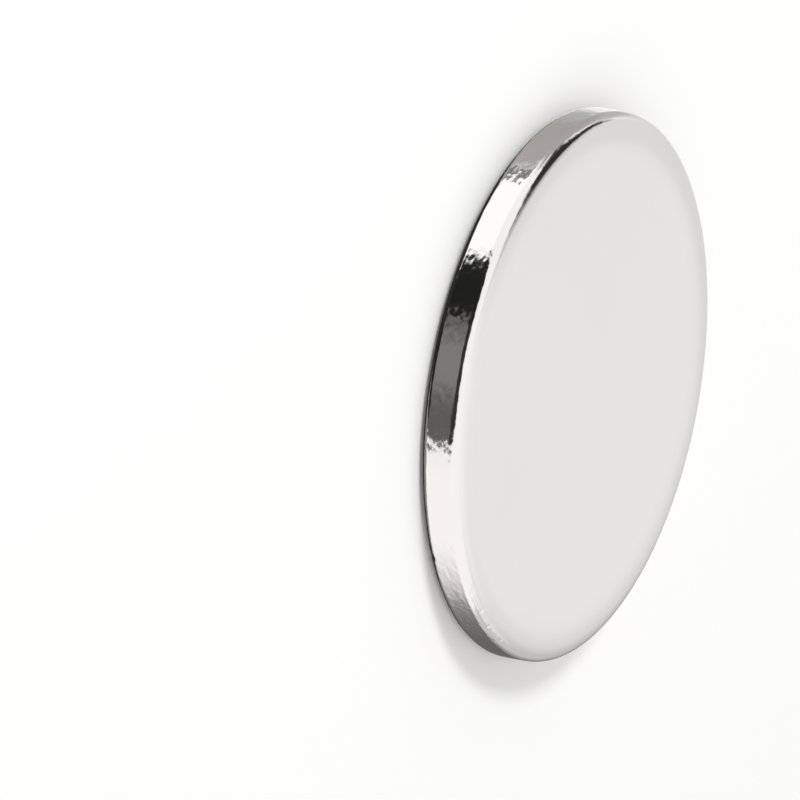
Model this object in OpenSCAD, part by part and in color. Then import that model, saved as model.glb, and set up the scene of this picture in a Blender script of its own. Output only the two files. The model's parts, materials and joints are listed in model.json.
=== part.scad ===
// A plated disc magnet: one thin solid disc, ground flat on both faces and tumbled
// until its edges are round, then plated all over. It lies on its back face.
// The origin is the centre of the back face, +Z is the axis of the disc.

/* [Disc] */
// Outer diameter, over the plating
disc_d = 20; // [5:0.5:60]
// Thickness from face to face, over the plating
disc_t = 1.5; // [1.2:0.1:10]

/* [Edges] */
// Radius that tumbling leaves where each face meets the rim
edge_r = 0.35; // [0.1:0.05:0.5]

/* [Chip] */
// Length of the chip, measured along the back edge
chip_l = 0.45; // [0.1:0.05:0.6]
// Depth of the chip, measured square to the rounded edge
chip_depth = 0.08; // [0.02:0.01:0.15]
// Place of the chip round the rim, as an angle from +X
chip_angle = 69; // [-180:1:180]

/* [Hidden] */

// Fineness of the round forms
$fn = 96;
disc_r = disc_d / 2;
// Centre line of each rounded edge, as a radius and as a distance from its face
edge_centre_r = disc_r - edge_r;
// Direction in which a rounded edge stands out most
edge_slope = 45;
// The chip is a scoop: the ball whose cap has the chip's length and depth
chip_ball_r = (pow(chip_l / 2, 2) + pow(chip_depth, 2)) / (2 * chip_depth);
chip_ball_reach = edge_r + chip_ball_r - chip_depth;

// Half of the disc's section, from its axis to the rim
module disc_section() {
    square([edge_centre_r, disc_t]);
    translate([0, edge_r]) square([disc_r, disc_t - 2 * edge_r]);
    for (height = [edge_r, disc_t - edge_r]) {
        translate([edge_centre_r, height]) circle(r = edge_r);
    }
}

// Ball that scoops the chip out of the rounded back edge
module chip_scoop() {
    rotate([0, 0, chip_angle])
        translate([edge_centre_r, 0, edge_r])
            rotate([0, edge_slope, 0])
                translate([chip_ball_reach, 0, 0])
                    sphere(r = chip_ball_r);
}

// The whole magnet, as one solid
module disc_magnet() {
    color([0.78, 0.77, 0.75])
        difference() {
            rotate_extrude() disc_section();
            chip_scoop();
        }
}

disc_magnet();
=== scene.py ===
"""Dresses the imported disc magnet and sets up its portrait.

The magnet is one solid, so there is one sub-assembly, the disc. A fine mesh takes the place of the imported
solid. It has the same outline and the same chip, and it adds what the solid leaves out: faces that roll off
a little towards their edges, an oval section of the edges, the ripple of the plating on the rim and the
small pits in the front edge. The nickel finish, the studio and the camera are classes of their own.
Lengths are in metres, unless a comment says otherwise.
"""

import json
import logging
import math
from collections.abc import Iterator
from dataclasses import dataclass
from enum import Enum

import bpy
from mathutils import Matrix, Vector, noise


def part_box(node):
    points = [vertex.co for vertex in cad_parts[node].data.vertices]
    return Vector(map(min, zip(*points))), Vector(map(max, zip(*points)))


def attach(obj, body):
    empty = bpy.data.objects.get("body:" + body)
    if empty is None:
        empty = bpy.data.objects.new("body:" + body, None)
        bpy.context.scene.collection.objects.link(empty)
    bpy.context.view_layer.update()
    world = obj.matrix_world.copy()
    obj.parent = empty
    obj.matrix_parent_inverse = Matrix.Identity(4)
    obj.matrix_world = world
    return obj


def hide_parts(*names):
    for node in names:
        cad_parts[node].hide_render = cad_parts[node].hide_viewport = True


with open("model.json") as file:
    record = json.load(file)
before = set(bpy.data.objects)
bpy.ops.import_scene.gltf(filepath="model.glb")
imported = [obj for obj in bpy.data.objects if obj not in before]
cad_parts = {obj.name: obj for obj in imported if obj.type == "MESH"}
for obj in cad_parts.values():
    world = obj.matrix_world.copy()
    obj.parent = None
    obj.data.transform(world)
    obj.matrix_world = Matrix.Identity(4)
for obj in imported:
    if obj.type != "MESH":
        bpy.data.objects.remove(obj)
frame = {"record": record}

LOG = logging.getLogger("disc_magnet")
MM = 0.001
# Where the camera stands round the disc, as an angle from the -Y side
CAMERA_HEADING = math.radians(115)
# Level that a random pattern lies about
GRAIN_MIDDLE = 0.5
# Places of the two colours and of the result among the sockets of a mix node
MIX_FIRST = 6
MIX_SECOND = 7
MIX_RESULT = 2
# Red, green and blue, as shares of white
Colour = tuple[float, float, float]


def facing_camera(arrow: Vector) -> Vector:
    """Turns an arrow that is given for a camera on the -Y side to the camera's real heading."""
    return Matrix.Rotation(CAMERA_HEADING, 3, "Z") @ arrow


class Wear(Enum):
    """The kinds of damage on the plated edge."""

    CHIP = "chip"
    PIT = "pit"


@dataclass(frozen=True)
class EdgeMark:
    """A chip or a pit in the edge, shaped like the print of a small ball.

    Attributes:
        wear: What kind of damage it is.
        around_deg: Its place round the rim, from +X.
        across_deg: Its place across the edge: 0 is the rim, 90 the front face and -90 the back face.
        length: How wide the print is.
        depth: How deep the print is, square to the surface.
    """

    wear: Wear
    around_deg: float
    across_deg: float
    length: float
    depth: float

    @property
    def ball_radius(self) -> float:
        """Radius of the ball that leaves a print of this length and depth."""
        return ((self.length / 2) ** 2 + self.depth**2) / (2 * self.depth)


@dataclass(frozen=True)
class Ring:
    """One ring of the revolved disc, given by a point of its half section.

    Attributes:
        radius: Distance of the point from the axis.
        height: Height of the point above the back face.
        across: Angle of the outward normal, in radians: 0 on the rim, a quarter turn on the front face.
        ripple: Share of the plating's ripple that the ring takes, from 0 to 1.
    """

    radius: float
    height: float
    across: float
    ripple: float

    def mirrored(self, thickness: float) -> "Ring":
        """The same ring on the other half of the disc."""
        return Ring(self.radius, thickness - self.height, -self.across, self.ripple)

    def point(self, around: float) -> Vector:
        """Point of the ring at an angle round the axis."""
        return Vector((self.radius * math.cos(around), self.radius * math.sin(around), self.height))

    def normal(self, around: float) -> Vector:
        """Outward normal of the ring at an angle round the axis."""
        out = math.cos(self.across)
        return Vector((out * math.cos(around), out * math.sin(around), math.sin(self.across)))


class NodeBench:
    """Lays out the nodes of one material, light or sky and joins them."""

    def __init__(self, tree: bpy.types.NodeTree) -> None:
        """Clears the tree, so that only what is laid out here is in it.

        Args:
            tree: The node tree of the material, light or sky.
        """
        self.tree = tree
        self.tree.nodes.clear()

    def node(self, kind: str, **settings: object) -> bpy.types.Node:
        """Adds a node.

        Args:
            kind: The node's type name in the node tree.
            settings: Values of the node's own properties.

        Returns:
            The new node.
        """
        made = self.tree.nodes.new(kind)
        for name, value in settings.items():
            setattr(made, name, value)
        return made

    def feed(self, socket: bpy.types.NodeSocket, value: object) -> None:
        """Joins a socket to another node's output, or sets it to a plain value.

        Args:
            socket: The input to feed.
            value: An output socket, or a number, colour or vector.
        """
        if isinstance(value, bpy.types.NodeSocket):
            self.tree.links.new(value, socket)
        else:
            socket.default_value = value

    def math(self, operation: str, *values: object) -> bpy.types.NodeSocket:
        """Adds a sum on numbers.

        Args:
            operation: The sum's name in the math node.
            values: Its inputs, as sockets or numbers.

        Returns:
            The socket with the result.
        """
        made = self.node("ShaderNodeMath", operation=operation)
        for socket, value in zip(made.inputs, values):
            self.feed(socket, value)
        return made.outputs[0]

    def vector(self, operation: str, *values: object, output: str = "Vector") -> bpy.types.NodeSocket:
        """Adds a sum on vectors.

        Args:
            operation: The sum's name in the vector math node.
            values: Its inputs, as sockets or vectors.
            output: Which of the node's results is wanted.

        Returns:
            The socket with the result.
        """
        made = self.node("ShaderNodeVectorMath", operation=operation)
        for socket, value in zip(made.inputs, values):
            self.feed(socket, value)
        return made.outputs[output]

    def fade(
        self, value: object, start: float, end: float, low: float = 0.0, high: float = 1.0
    ) -> bpy.types.NodeSocket:
        """Adds a smooth step from one level to another.

        Args:
            value: The number that drives the step.
            start: Where the step begins.
            end: Where the step ends.
            low: The level at its beginning.
            high: The level at its end.

        Returns:
            The socket with the level.
        """
        made = self.node("ShaderNodeMapRange", interpolation_type="SMOOTHSTEP")
        names = ("Value", "From Min", "From Max", "To Min", "To Max")
        for name, given in zip(names, (value, start, end, low, high)):
            self.feed(made.inputs[name], given)
        return made.outputs["Result"]

    def mix(self, share: object, first: object, second: object) -> bpy.types.NodeSocket:
        """Adds a blend of two colours.

        Args:
            share: How much of the second colour there is.
            first: The first colour, as a socket or four numbers.
            second: The second colour, as a socket or four numbers.

        Returns:
            The socket with the blended colour.
        """
        made = self.node("ShaderNodeMix", data_type="RGBA")
        self.feed(made.inputs["Factor"], share)
        self.feed(made.inputs[MIX_FIRST], first)
        self.feed(made.inputs[MIX_SECOND], second)
        return made.outputs[MIX_RESULT]

    def grain(self, place: object, size: float, detail: float) -> bpy.types.NodeSocket:
        """Adds a soft random pattern.

        Args:
            place: The coordinates that it is read at.
            size: The length of its largest features.
            detail: How many finer layers it has.

        Returns:
            The socket with a level that lies about GRAIN_MIDDLE.
        """
        made = self.node("ShaderNodeTexNoise")
        self.feed(made.inputs["Vector"], place)
        self.feed(made.inputs["Scale"], 1 / size)
        self.feed(made.inputs["Detail"], detail)
        return made.outputs["Fac"]


@dataclass(frozen=True)
class NickelPlating:
    """Bright nickel over a ground and tumbled disc: satin on the faces, mirror-like on the rim.

    Attributes:
        tint: Colour of the clean, bright plating.
        face_tint_painted_lighter: Colour of the plating on the satin faces, lighter than tint: painted light
            that brightens the faces.
        dull_shade: Share of its colour that the plating keeps where it has dulled a little.
        dull_size: Width of the dulled patches.
        dull_detail: How many finer layers the patches have.
        dull_from: Level of the patches' pattern at which the dulling begins.
        dull_full: Level at which it is complete.
        edge_tint: How much of a plain metal's gleam is left where the plating is seen at a low angle.
        blend_width: Width of the ring in which the satin gives way to the bright finish.
        edge_blend: Width of the ring in which the rim's orange peel sets in.
        face_roughness: Roughness of the ground faces.
        rim_roughness: Roughness of the rim and the rounded edges.
        uneven_roughness: How far the roughness strays from patch to patch.
        peel_size: Width of the rim's orange peel.
        peel_depth: Depth of the rim's orange peel.
        peel_detail: How many finer layers the peel has.
        peel_squat: How many times longer a dimple of the peel is round the rim than across it.
        speck_size: Width of the rim's finest grain.
        speck_depth: Depth of the rim's finest grain.
        speck_detail: How many finer layers it has.
        face_grain_size: Width of the faces' satin grain.
        face_grain_depth: Depth of the faces' satin grain.
        face_grain_detail: How many finer layers it has.
        streak_length: Length of the grinding streaks round the rim.
        streak_width: Width of the grinding streaks.
        streak_depth: Depth of the grinding streaks.
        streak_detail: How many finer layers they have.
    """

    tint: Colour = (0.79, 0.775, 0.757)
    face_tint_painted_lighter: Colour = (0.858, 0.847, 0.836)
    dull_shade: Colour = (0.985, 0.982, 0.978)
    dull_size: float = 6.0 * MM
    dull_detail: float = 3.0
    dull_from: float = 0.5
    dull_full: float = 0.8
    edge_tint: Colour = (0.8, 0.8, 0.79)
    blend_width: float = 1.0 * MM
    edge_blend: float = 0.42 * MM
    face_roughness: float = 0.2
    rim_roughness: float = 0.09
    uneven_roughness: float = 0.01
    peel_size: float = 0.31 * MM
    peel_depth: float = 0.0125 * MM
    peel_detail: float = 0.6
    peel_squat: float = 2.0
    speck_size: float = 0.09 * MM
    speck_depth: float = 0.0007 * MM
    speck_detail: float = 1.0
    face_grain_size: float = 0.05 * MM
    face_grain_depth: float = 0.0001 * MM
    face_grain_detail: float = 2.0
    streak_length: float = 2.5 * MM
    streak_width: float = 0.035 * MM
    streak_depth: float = 0.00012 * MM
    streak_detail: float = 2.0

    def material(self, bright_from: float, edge_from: float) -> bpy.types.Material:
        """Makes the finish as one procedural material.

        Args:
            bright_from: Radius at which the satin of the faces begins to give way to the bright finish.
            edge_from: Radius at which the rounded edge begins.

        Returns:
            The material for the disc.
        """
        made = bpy.data.materials.new("nickel_plating")
        made.use_nodes = True
        bench = NodeBench(made.node_tree)
        place = bench.node("ShaderNodeTexCoord").outputs["Object"]
        from_axis = bench.vector("LENGTH", bench.vector("MULTIPLY", place, (1, 1, 0)), output="Value")
        bright = bench.fade(from_axis, bright_from, bright_from + self.blend_width)
        edge = bench.fade(from_axis, edge_from, edge_from + self.edge_blend)

        shader = bench.node("ShaderNodeBsdfPrincipled")
        shader.inputs["Metallic"].default_value = 1.0
        shader.inputs["Specular Tint"].default_value = (*self.edge_tint, 1)
        patches = bench.grain(place, self.dull_size, self.dull_detail)
        dull = bench.fade(patches, self.dull_from, self.dull_full)
        # The faces take a lighter copy of the plating's colour than the rim: painted light on the faces.
        clean = bench.mix(bright, (*self.face_tint_painted_lighter, 1), (*self.tint, 1))
        dulled = bench.vector("MULTIPLY", clean, self.dull_shade)
        bench.feed(shader.inputs["Base Color"], bench.mix(dull, clean, dulled))

        satin = bench.fade(bright, 0.0, 1.0, self.face_roughness, self.rim_roughness)
        off_middle = bench.math("SUBTRACT", patches, GRAIN_MIDDLE)
        stray = bench.math("MULTIPLY", off_middle, self.uneven_roughness / GRAIN_MIDDLE)
        bench.feed(shader.inputs["Roughness"], bench.math("ADD", satin, stray))
        bench.feed(shader.inputs["Normal"], self._relief(bench, place, bright, edge))

        output = bench.node("ShaderNodeOutputMaterial")
        bench.feed(output.inputs["Surface"], shader.outputs["BSDF"])
        return made

    def _relief(
        self, bench: NodeBench, place: object, bright: object, edge: object
    ) -> bpy.types.NodeSocket:
        """Lays the finish's fine relief over the mesh, as layers of bump.

        Args:
            bench: Where the nodes are laid out.
            place: The coordinates on the disc.
            bright: A level that is 0 where the finish is satin and 1 where it is bright.
            edge: A level that is 0 on the faces and 1 on the rounded edges and the rim.

        Returns:
            The socket with the normal.
        """
        # Coordinates that count streak lengths and widths, so the pattern read there has size 1
        ring_wise = (1 / self.streak_length, 1 / self.streak_length, 1 / self.streak_width)
        streaks = bench.grain(bench.vector("MULTIPLY", place, ring_wise), 1.0, self.streak_detail)
        squat = bench.vector("MULTIPLY", place, (1, 1, self.peel_squat))
        peel = bench.grain(squat, self.peel_size, self.peel_detail)
        specks = bench.grain(place, self.speck_size, self.speck_detail)
        satin_grain = bench.grain(place, self.face_grain_size, self.face_grain_detail)
        face = bench.math("SUBTRACT", 1.0, bright)
        layers = (
            (peel, edge, self.peel_depth),
            (specks, edge, self.speck_depth),
            (streaks, edge, self.streak_depth),
            (satin_grain, face, self.face_grain_depth),
        )
        normal = None
        for height, share, depth in layers:
            bump = bench.node("ShaderNodeBump")
            bench.feed(bump.inputs["Height"], bench.math("MULTIPLY", height, share))
            bench.feed(bump.inputs["Distance"], depth)
            if normal is not None:
                bench.feed(bump.inputs["Normal"], normal)
            normal = bump.outputs["Normal"]
        return normal


@dataclass
class PlatedDisc:
    """The magnet: a thin disc with tumbled edges, as one closed mesh.

    Attributes:
        radius: Radius over the plating.
        thickness: Distance between the flat middles of the faces.
        edge_radius: Radius of the tumbled edges, as packed.
        face_reach: How far the rounding reaches into the face, as a share of the edge radius.
        rim_reach: How far it reaches into the rim, as a share of the edge radius.
        roll_width: Width of the ring in which each face falls off towards its edge.
        roll_tilt_deg: Tilt of the face at the outer end of that ring.
        roll_ripple: Share of the plating's ripple that the face has at that outer end.
        bright_width: Width of the face's outermost ring, which tumbling has polished as bright as the edge.
        rim_bow_deg: Tilt of the straight rim at its two ends, which makes it a little barrel-shaped.
        ripple_size: Width of the plating's coarser ripple.
        ripple_depth: Depth of that ripple on the rim.
        ripple_squat: How many times longer one of its waves is round the rim than across it.
        steps_around: How many steps there are round the disc.
        face_rings: How many rings the flat middle of a face has.
        roll_rings: How many rings the falling part of a face has.
        edge_rings: How many rings a rounded edge has.
        rim_rings: How many rings the upper half of the straight rim has.
        marks: The chip and the pits.
    """

    radius: float
    thickness: float
    edge_radius: float
    face_reach: float = 1.1
    rim_reach: float = 0.91
    roll_width: float = 1.25 * MM
    roll_tilt_deg: float = 4.0
    roll_ripple: float = 0.15
    bright_width: float = 1.75 * MM
    rim_bow_deg: float = 3.0
    ripple_size: float = 0.3 * MM
    ripple_depth: float = 0.006 * MM
    ripple_squat: float = 2.0
    steps_around: int = 1600
    face_rings: int = 2
    roll_rings: int = 7
    edge_rings: int = 10
    rim_rings: int = 8
    marks: tuple[EdgeMark, ...] = (
        EdgeMark(Wear.CHIP, around_deg=69, across_deg=-45, length=0.45 * MM, depth=0.08 * MM),
        EdgeMark(Wear.PIT, around_deg=84.7, across_deg=60, length=0.24 * MM, depth=0.015 * MM),
        EdgeMark(Wear.PIT, around_deg=90.5, across_deg=56, length=0.26 * MM, depth=0.015 * MM),
        EdgeMark(Wear.PIT, around_deg=97.7, across_deg=50, length=0.18 * MM, depth=0.014 * MM),
        EdgeMark(Wear.PIT, around_deg=127, across_deg=70, length=0.20 * MM, depth=0.016 * MM),
    )

    def _front_half(self) -> Iterator[Ring]:
        """Goes through the rings of the front half.

        Yields:
            Each ring, from the one next to the face's middle to the one just above half thickness.
        """
        tilt = math.radians(self.roll_tilt_deg)
        bow = math.radians(self.rim_bow_deg)
        face_half = self.edge_radius * self.face_reach
        rim_half = self.edge_radius * self.rim_reach

        def oval(across: float) -> tuple[float, float]:
            """The point of the rounding's oval section that has a given normal, from the oval's centre."""
            scale = math.hypot(face_half * math.cos(across), rim_half * math.sin(across))
            return face_half**2 * math.cos(across) / scale, rim_half**2 * math.sin(across) / scale

        face_end, below = oval(math.pi / 2 - tilt)
        flat_end = self.radius - face_half + face_end - self.roll_width
        for step in range(1, self.face_rings + 1):
            yield Ring(flat_end * step / self.face_rings, self.thickness, math.pi / 2, 0.0)
        # The tilt grows with the square of the way across this ring, so the drop grows with its cube
        for step in range(1, self.roll_rings + 1):
            share = step / self.roll_rings
            drop = math.tan(tilt) * self.roll_width * share**3 / 3
            ring_radius = flat_end + self.roll_width * share
            across = math.pi / 2 - tilt * share**2
            yield Ring(ring_radius, self.thickness - drop, across, self.roll_ripple * share)
        centre = self.thickness - drop - below
        for step in range(1, self.edge_rings + 1):
            share = step / self.edge_rings
            across = (math.pi / 2 - tilt) * (1 - share) + bow * share
            out, above = oval(across)
            out += self.radius - face_half
            height = centre + above
            yield Ring(out, height, across, self.roll_ripple + (1 - self.roll_ripple) * share)
        half_band = height - self.thickness / 2
        # The tilt of the rim falls evenly to nothing at half thickness, so the rim swells with a square. The
        # last ring stands half a step above half thickness, and its mirror image half a step below
        for step in range(1, self.rim_rings + 1):
            share = 1 - step / (self.rim_rings + 0.5)
            swell = math.tan(bow) * half_band * (1 - share**2) / 2
            height = self.thickness / 2 + half_band * share
            yield Ring(min(out + swell, self.radius), height, bow * share, 1.0)

    def rings(self) -> list[Ring]:
        """Lists the rings of the whole disc, from the front face's middle round to the back face's."""
        front = list(self._front_half())
        return front + [ring.mirrored(self.thickness) for ring in reversed(front)]

    def _mark_balls(self, rings: list[Ring]) -> list[tuple[Vector, float]]:
        """Finds the ball that each mark is the print of.

        Args:
            rings: The rings of the disc.

        Returns:
            The centre and the radius of each ball.
        """
        balls = []
        for mark in self.marks:
            across = math.radians(mark.across_deg)
            around = math.radians(mark.around_deg)
            ring = min(rings, key=lambda ring: abs(ring.across - across))
            reach = mark.ball_radius - mark.depth
            balls.append((ring.point(around) + ring.normal(around) * reach, mark.ball_radius))
        return balls

    def _pressed(self, point: Vector, normal: Vector, balls: list[tuple[Vector, float]]) -> Vector:
        """Pushes a point of the surface in to where the marks leave it.

        Args:
            point: The point on the unmarked surface.
            normal: The outward normal there.
            balls: The balls from _mark_balls.

        Returns:
            The point on the marked surface.
        """
        for centre, ball_radius in balls:
            away = point - centre
            if away.length < ball_radius:
                along = away.dot(normal)
                inwards = along + math.sqrt(along**2 - away.length_squared + ball_radius**2)
                point = point - normal * inwards
        return point

    def _points(self, rings: list[Ring]) -> Iterator[Vector]:
        """Goes through the points of every ring in turn, with ripple and marks.

        Args:
            rings: The rings of the disc.

        Yields:
            Each point of the surface, apart from the two in the middles of the faces.
        """
        balls = self._mark_balls(rings)
        for ring in rings:
            for step in range(self.steps_around):
                around = 2 * math.pi * step / self.steps_around
                normal = ring.normal(around)
                point = ring.point(around)
                if ring.ripple:
                    squat = Vector((point.x, point.y, point.z * self.ripple_squat))
                    wave = (1 + noise.noise(squat / self.ripple_size)) / 2
                    point -= normal * (self.ripple_depth * ring.ripple * wave)
                    point = self._pressed(point, normal, balls)
                yield point

    def mesh(self) -> bpy.types.Mesh:
        """Makes the closed mesh of the disc.

        Returns:
            The mesh, with a point in the middle of each face and quads between its rings.
        """
        rings = self.rings()
        points = [Vector((0, 0, self.thickness)), *self._points(rings), Vector((0, 0, 0))]
        around = self.steps_around
        last = len(points) - 1
        faces: list[tuple[int, ...]] = []
        for step in range(around):
            following = (step + 1) % around
            faces.append((0, 1 + step, 1 + following))
            for row in range(len(rings) - 1):
                here = 1 + row * around
                below = here + around
                faces.append((here + step, below + step, below + following, here + following))
            here = last - around
            faces.append((last, here + following, here + step))
        made = bpy.data.meshes.new("plated_disc")
        made.from_pydata(points, [], faces)
        made.polygons.foreach_set("use_smooth", [True] * len(faces))
        made.update()
        return made

    def build(self, finish: NickelPlating) -> bpy.types.Object:
        """Builds the disc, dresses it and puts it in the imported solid's place.

        Args:
            finish: The plating.

        Returns:
            The disc's object.
        """
        piece = bpy.data.objects.new("plated_disc", self.mesh())
        bpy.context.scene.collection.objects.link(piece)
        edge_from = self.radius - self.edge_radius * self.face_reach
        piece.data.materials.append(finish.material(self.radius - self.bright_width, edge_from))
        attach(piece, "root")
        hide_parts("disc_magnet")
        return piece


@dataclass(frozen=True)
class StudioCard:
    """A light or dark card of the studio, which the metal mirrors.

    Attributes:
        name: What the card is.
        heading_deg: Where its middle stands round the disc: 0 is the camera's side, and 90 is the
            right-hand side of a camera that isn't rolled.
        spread_deg: Half its width, as an angle.
        low_deg: How high its lower edge stands, as an angle from the disc.
        high_deg: How high its upper edge stands.
        colour: The light that it gives.
        soft_deg: How wide its blurred border is at the sides.
        soft_rise_deg: How wide it is at the lower and the upper edge.
    """

    name: str
    heading_deg: float
    spread_deg: float
    low_deg: float
    high_deg: float
    colour: Colour
    soft_deg: float
    soft_rise_deg: float

    def hold(
        self, bench: NodeBench, behind: object, level: bpy.types.NodeSocket, height: bpy.types.NodeSocket
    ) -> bpy.types.NodeSocket:
        """Holds the card up before what is behind it.

        Args:
            bench: Where the sky's nodes are laid out.
            behind: The colour behind the card.
            level: The direction along the floor, of length 1, turned so that the camera is at -Y.
            height: The height of the direction, in degrees.

        Returns:
            The socket with the colour of the card and what shows beside it.
        """
        heading = math.radians(self.heading_deg)
        middle = (math.sin(heading), -math.cos(heading), 0)
        towards = bench.vector("DOT_PRODUCT", level, middle, output="Value")
        turn = bench.math("DEGREES", bench.math("ARCCOSINE", towards))
        half = self.soft_deg / 2
        half_rise = self.soft_rise_deg / 2
        share = bench.fade(turn, self.spread_deg + half, self.spread_deg - half)
        above = bench.fade(height, self.low_deg - half_rise, self.low_deg + half_rise)
        below = bench.fade(height, self.high_deg + half_rise, self.high_deg - half_rise)
        share = bench.math("MULTIPLY", share, bench.math("MULTIPLY", above, below))
        return bench.mix(share, behind, (*self.colour, 1))


@dataclass
class Studio:
    """A pale floor, a pale sky with cards in it, and one soft lamp.

    Attributes:
        floor_size: Length of the floor's sides.
        floor_colour: Colour of the floor.
        sky_colour: Light of the sky where no card stands.
        cards: The cards, from the farthest to the nearest.
        lamp_power: Power of the lamp, in watts.
        lamp_size: Width of the lamp.
        lamp_place: Where the lamp hangs, for a camera on the -Y side.
    """

    floor_size: float = 4.0
    floor_colour: Colour = (0.88, 0.88, 0.88)
    sky_colour: Colour = (1.15, 1.145, 1.135)
    cards: tuple[StudioCard, ...] = (
        StudioCard("far wall", 180, 180, -120, 25, (1.06, 1.055, 1.05), 4, 12),
        StudioCard("bright band over the far wall", 180, 24, 28, 46, (1.14, 1.135, 1.127), 20, 16),
        StudioCard("haze beside the strip", -166, 12, 27, 52, (0.98, 0.975, 0.97), 8, 8),
        StudioCard("foot of the far wall", 180, 22, -20, 20, (0.96, 0.955, 0.95), 10, 8),
        StudioCard("dim part left of the middle", -172, 7, 17, 33, (0.93, 0.925, 0.92), 3, 5),
        StudioCard("far part of the dim wall", 160, 16.5, -120, 20, (0.7, 0.695, 0.69), 3, 8),
        StudioCard("right light", 95, 55, -120, 40, (1.17, 1.155, 1.14), 28, 20),
        StudioCard("top of the dim wall", 158, 16, 26, 36.5, (0.88, 0.875, 0.87), 8, 5),
        StudioCard("dim wall on the right", 144, 33, -120, 29, (0.7, 0.69, 0.685), 12, 6),
        StudioCard("grey card on the right", 146, 22, 30, 42, (0.94, 0.935, 0.93), 16, 10),
        StudioCard("upper part of the shade", 152, 24, -120, 2, (0.4, 0.395, 0.39), 14, 20),
        StudioCard("shade behind the table", 150, 46, -120, -21, (0.265, 0.26, 0.26), 56, 6),
        StudioCard("deep shade behind the table", 165, 35, -120, -21, (0.185, 0.18, 0.18), 40, 6),
        StudioCard("white beyond the left wall", -162, 19, -60, -8, (1.22, 1.22, 1.21), 6, 12),
        StudioCard("left window", -64, 26, -120, 66, (1.13, 1.13, 1.12), 4, 20),
        StudioCard("bright foot of the left window", -64, 26, -120, 4, (1.28, 1.28, 1.27), 4, 34),
        StudioCard("left wall", -119, 24, -120, 30, (0.485, 0.465, 0.445), 5, 6),
        StudioCard("end of the left wall", -146, 9, -120, 26, (0.62, 0.61, 0.59), 14, 6),
        StudioCard("strip over the left wall", -143, 20, 35, 54, (0.03, 0.03, 0.03), 8, 7),
        StudioCard("bend of the strip", -156, 12, 36, 48, (0.03, 0.03, 0.03), 6, 6),
        StudioCard("far end of the strip", -163.5, 11.5, 31, 41, (0.03, 0.03, 0.03), 6, 5),
        StudioCard("heel of the strip", -157, 8, 27, 36, (0.03, 0.03, 0.03), 6, 5),
        StudioCard("near end of the strip", -119, 6, 30, 42, (0.06, 0.06, 0.06), 6, 6),
        StudioCard("patch beside the window", -90.8, 2.8, -120, -8, (0.19, 0.185, 0.18), 3, 14),
        StudioCard("dark round the camera", -4, 38, -32, 62, (0.035, 0.035, 0.035), 4, 14),
        StudioCard("dark grey under the camera", 6, 27.7, -120, -12, (0.135, 0.13, 0.125), 5, 8),
        StudioCard("grey under the camera", 0, 18, -120, 10, (0.165, 0.16, 0.155), 12, 20),
        StudioCard("lighter grey under the camera", 0, 11, -120, 6, (0.25, 0.245, 0.235), 12, 20),
        StudioCard("black beside the camera", -33, 13, -120, 58, (0.018, 0.018, 0.018), 4, 14),
        StudioCard("dark under the floor", 0, 180, -120, -45, (0.03, 0.03, 0.03), 4, 14),
        StudioCard("paler floor on the right", 75, 42, -120, -45, (0.3, 0.3, 0.295), 14, 14),
        StudioCard("black under the camera", 0, 26, -120, -37, (0.02, 0.02, 0.02), 8, 7),
        StudioCard("black behind the disc", 180, 30, -60, -32, (0.03, 0.03, 0.03), 10, 5),
    )
    lamp_power: float = 1.2
    lamp_size: float = 0.12
    lamp_place: tuple[float, float, float] = (-0.34, -0.2, 0.31)

    def build_floor(self) -> bpy.types.Object:
        """Lays the floor.

        The metal doesn't mirror it, so the low rim shows the studio as a held-up disc's would.

        Returns:
            The floor's object.
        """
        half = self.floor_size / 2
        data = bpy.data.meshes.new("floor")
        corners = [(-half, -half, 0), (half, -half, 0), (half, half, 0), (-half, half, 0)]
        data.from_pydata(corners, [], [(0, 1, 2, 3)])
        material = bpy.data.materials.new("pale_floor")
        material.use_nodes = True
        bench = NodeBench(material.node_tree)
        matte = bench.node("ShaderNodeBsdfDiffuse")
        bench.feed(matte.inputs["Color"], (*self.floor_colour, 1))
        bench.feed(bench.node("ShaderNodeOutputMaterial").inputs["Surface"], matte.outputs["BSDF"])
        data.materials.append(material)
        floor = bpy.data.objects.new("floor", data)
        floor.visible_glossy = False
        bpy.context.scene.collection.objects.link(floor)
        return floor

    def build_sky(self) -> bpy.types.World:
        """Makes the pale sky and holds the cards up before it.

        Returns:
            The scene's world.
        """
        sky = bpy.data.worlds.new("studio")
        sky.use_nodes = True
        bench = NodeBench(sky.node_tree)
        turned = bench.node("ShaderNodeVectorRotate", rotation_type="Z_AXIS")
        bench.feed(turned.inputs["Vector"], bench.node("ShaderNodeTexCoord").outputs["Generated"])
        bench.feed(turned.inputs["Angle"], -CAMERA_HEADING)
        direction = turned.outputs["Vector"]
        level = bench.vector("NORMALIZE", bench.vector("MULTIPLY", direction, (1, 1, 0)))
        rise = bench.node("ShaderNodeSeparateXYZ")
        bench.feed(rise.inputs["Vector"], bench.vector("NORMALIZE", direction))
        height = bench.math("DEGREES", bench.math("ARCSINE", rise.outputs["Z"]))
        colour: object = (*self.sky_colour, 1)
        for card in self.cards:
            colour = card.hold(bench, colour, level, height)
        background = bench.node("ShaderNodeBackground")
        bench.feed(background.inputs["Color"], colour)
        bench.feed(bench.node("ShaderNodeOutputWorld").inputs["Surface"], background.outputs["Background"])
        bpy.context.scene.world = sky
        return sky

    def build_lamp(self) -> bpy.types.Object:
        """Hangs the soft lamp, which faces the disc and throws its shadow on the floor.

        Returns:
            The lamp's object.
        """
        data = bpy.data.lights.new("soft_lamp", "AREA")
        data.energy = self.lamp_power
        data.size = self.lamp_size
        lamp = bpy.data.objects.new("soft_lamp", data)
        place = facing_camera(Vector(self.lamp_place))
        lamp.location = place
        lamp.rotation_euler = (-place).to_track_quat("-Z", "Y").to_euler()
        lamp.visible_glossy = False
        bpy.context.scene.collection.objects.link(lamp)
        return lamp


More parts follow.
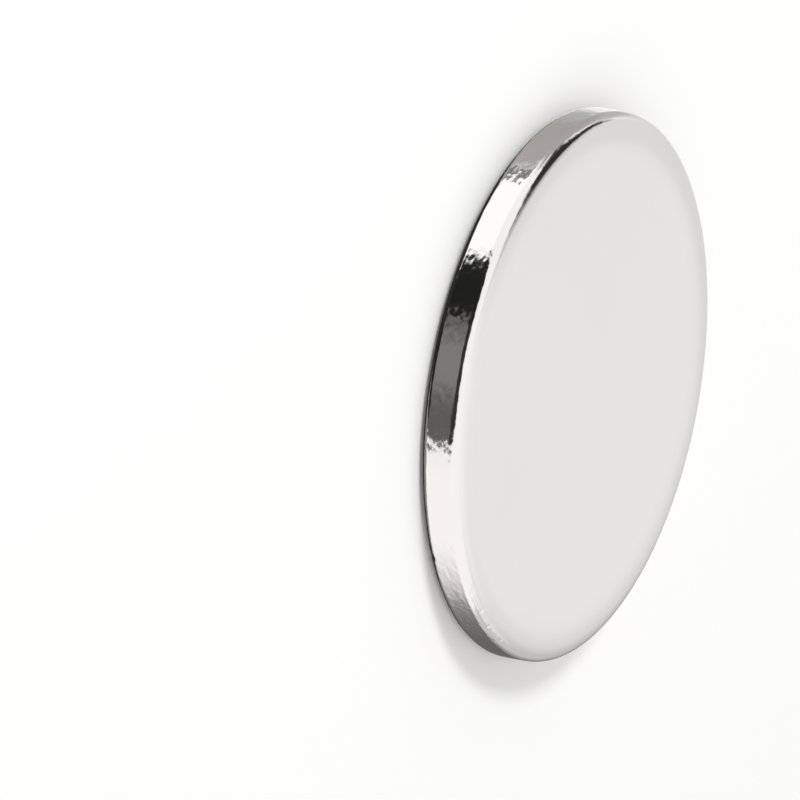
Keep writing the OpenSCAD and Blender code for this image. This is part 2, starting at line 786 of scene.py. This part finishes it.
@dataclass(frozen=True)
class PortraitCamera:
    """The camera, which sees the disc as the photograph does.

    The disc lies flat, and in the photograph it stands on its rim, so the camera looks down on it and is
    rolled until the disc's axis points the same way in the picture.

    Attributes:
        rise_deg: Angle between the line of sight and the disc's front face.
        axis_dip_deg: How far the disc's axis points below the picture's right-hand side.
        frame_px: Width and height of the photograph.
        radius_px: Radius of the disc in the photograph.
        face_px: Centre of the front face in the photograph, from its top left corner.
        lens: Focal length, in millimetres. It is long, because the photograph shows next to no perspective.
        sensor_width: Width of the sensor, in millimetres.
        sight: How far the camera sees, as a multiple of its distance from the disc.
    """

    rise_deg: float = 25.8
    axis_dip_deg: float = 10.4
    frame_px: float = 800.0
    radius_px: float = 279.4
    face_px: tuple[float, float] = (585.2, 388.0)
    lens: float = 1000.0
    sensor_width: float = 36.0
    sight: float = 10.0

    def build(self, disc: PlatedDisc) -> bpy.types.Object:
        """Places the camera and makes it the scene's own.

        Args:
            disc: The disc that it looks at.

        Returns:
            The camera's object.
        """
        rise = math.radians(self.rise_deg)
        # Without a roll the disc's axis points up in the picture, and a quarter turn lays it to the right
        roll = math.radians(-90 - self.axis_dip_deg)
        back = facing_camera(Vector((0, -math.cos(rise), math.sin(rise))))
        level_up = facing_camera(Vector((0, math.sin(rise), math.cos(rise))))
        level_right = facing_camera(Vector((1, 0, 0)))
        right = level_right * math.cos(roll) - level_up * math.sin(roll)
        up = level_up * math.cos(roll) + level_right * math.sin(roll)
        metres_per_px = disc.radius / self.radius_px
        middle_px = self.frame_px / 2
        across = (middle_px - self.face_px[0]) * metres_per_px
        upwards = (self.face_px[1] - middle_px) * metres_per_px
        target = Vector((0, 0, disc.thickness)) + right * across + up * upwards
        distance = self.frame_px * metres_per_px * self.lens / self.sensor_width
        data = bpy.data.cameras.new("portrait_camera")
        data.lens = self.lens
        data.sensor_width = self.sensor_width
        data.clip_end = self.sight * distance
        camera = bpy.data.objects.new("portrait_camera", data)
        turned = Matrix((right, up, back)).transposed().to_4x4()
        camera.matrix_world = Matrix.Translation(target + back * distance) @ turned
        bpy.context.scene.collection.objects.link(camera)
        bpy.context.scene.camera = camera
        return camera


def disc_from_frame() -> PlatedDisc:
    """Reads the disc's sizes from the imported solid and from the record's rim.

    Returns:
        The disc, not built yet.
    """
    low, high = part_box("disc_magnet")
    thickness = high.z - low.z
    rim = next(mount for mount in frame["record"]["mounts"] if mount["name"] == "rim")
    return PlatedDisc(
        radius=rim["dims"]["r_mm"] * MM,
        thickness=thickness,
        edge_radius=(thickness - rim["dims"]["length_mm"] * MM) / 2,
    )


def main() -> None:
    """Builds the camera, the disc and the studio, and logs the disc's face count and its marks."""
    logging.basicConfig(level=logging.INFO, format="%(name)s: %(message)s")
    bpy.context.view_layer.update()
    bpy.context.scene.view_settings.view_transform = "Standard"

    disc = disc_from_frame()
    PortraitCamera().build(disc)
    piece = disc.build(NickelPlating())
    LOG.info("%s: %d faces, replaces the packed solid", piece.name, len(piece.data.polygons))
    for mark in disc.marks:
        LOG.info("%s: %s at %.1f degrees round the rim", piece.name, mark.wear.value, mark.around_deg)

    studio = Studio()
    studio.build_sky()
    for staged in (studio.build_floor(), studio.build_lamp()):
        LOG.info("%s: in place", staged.name)


if __name__ == "__main__":
    main()
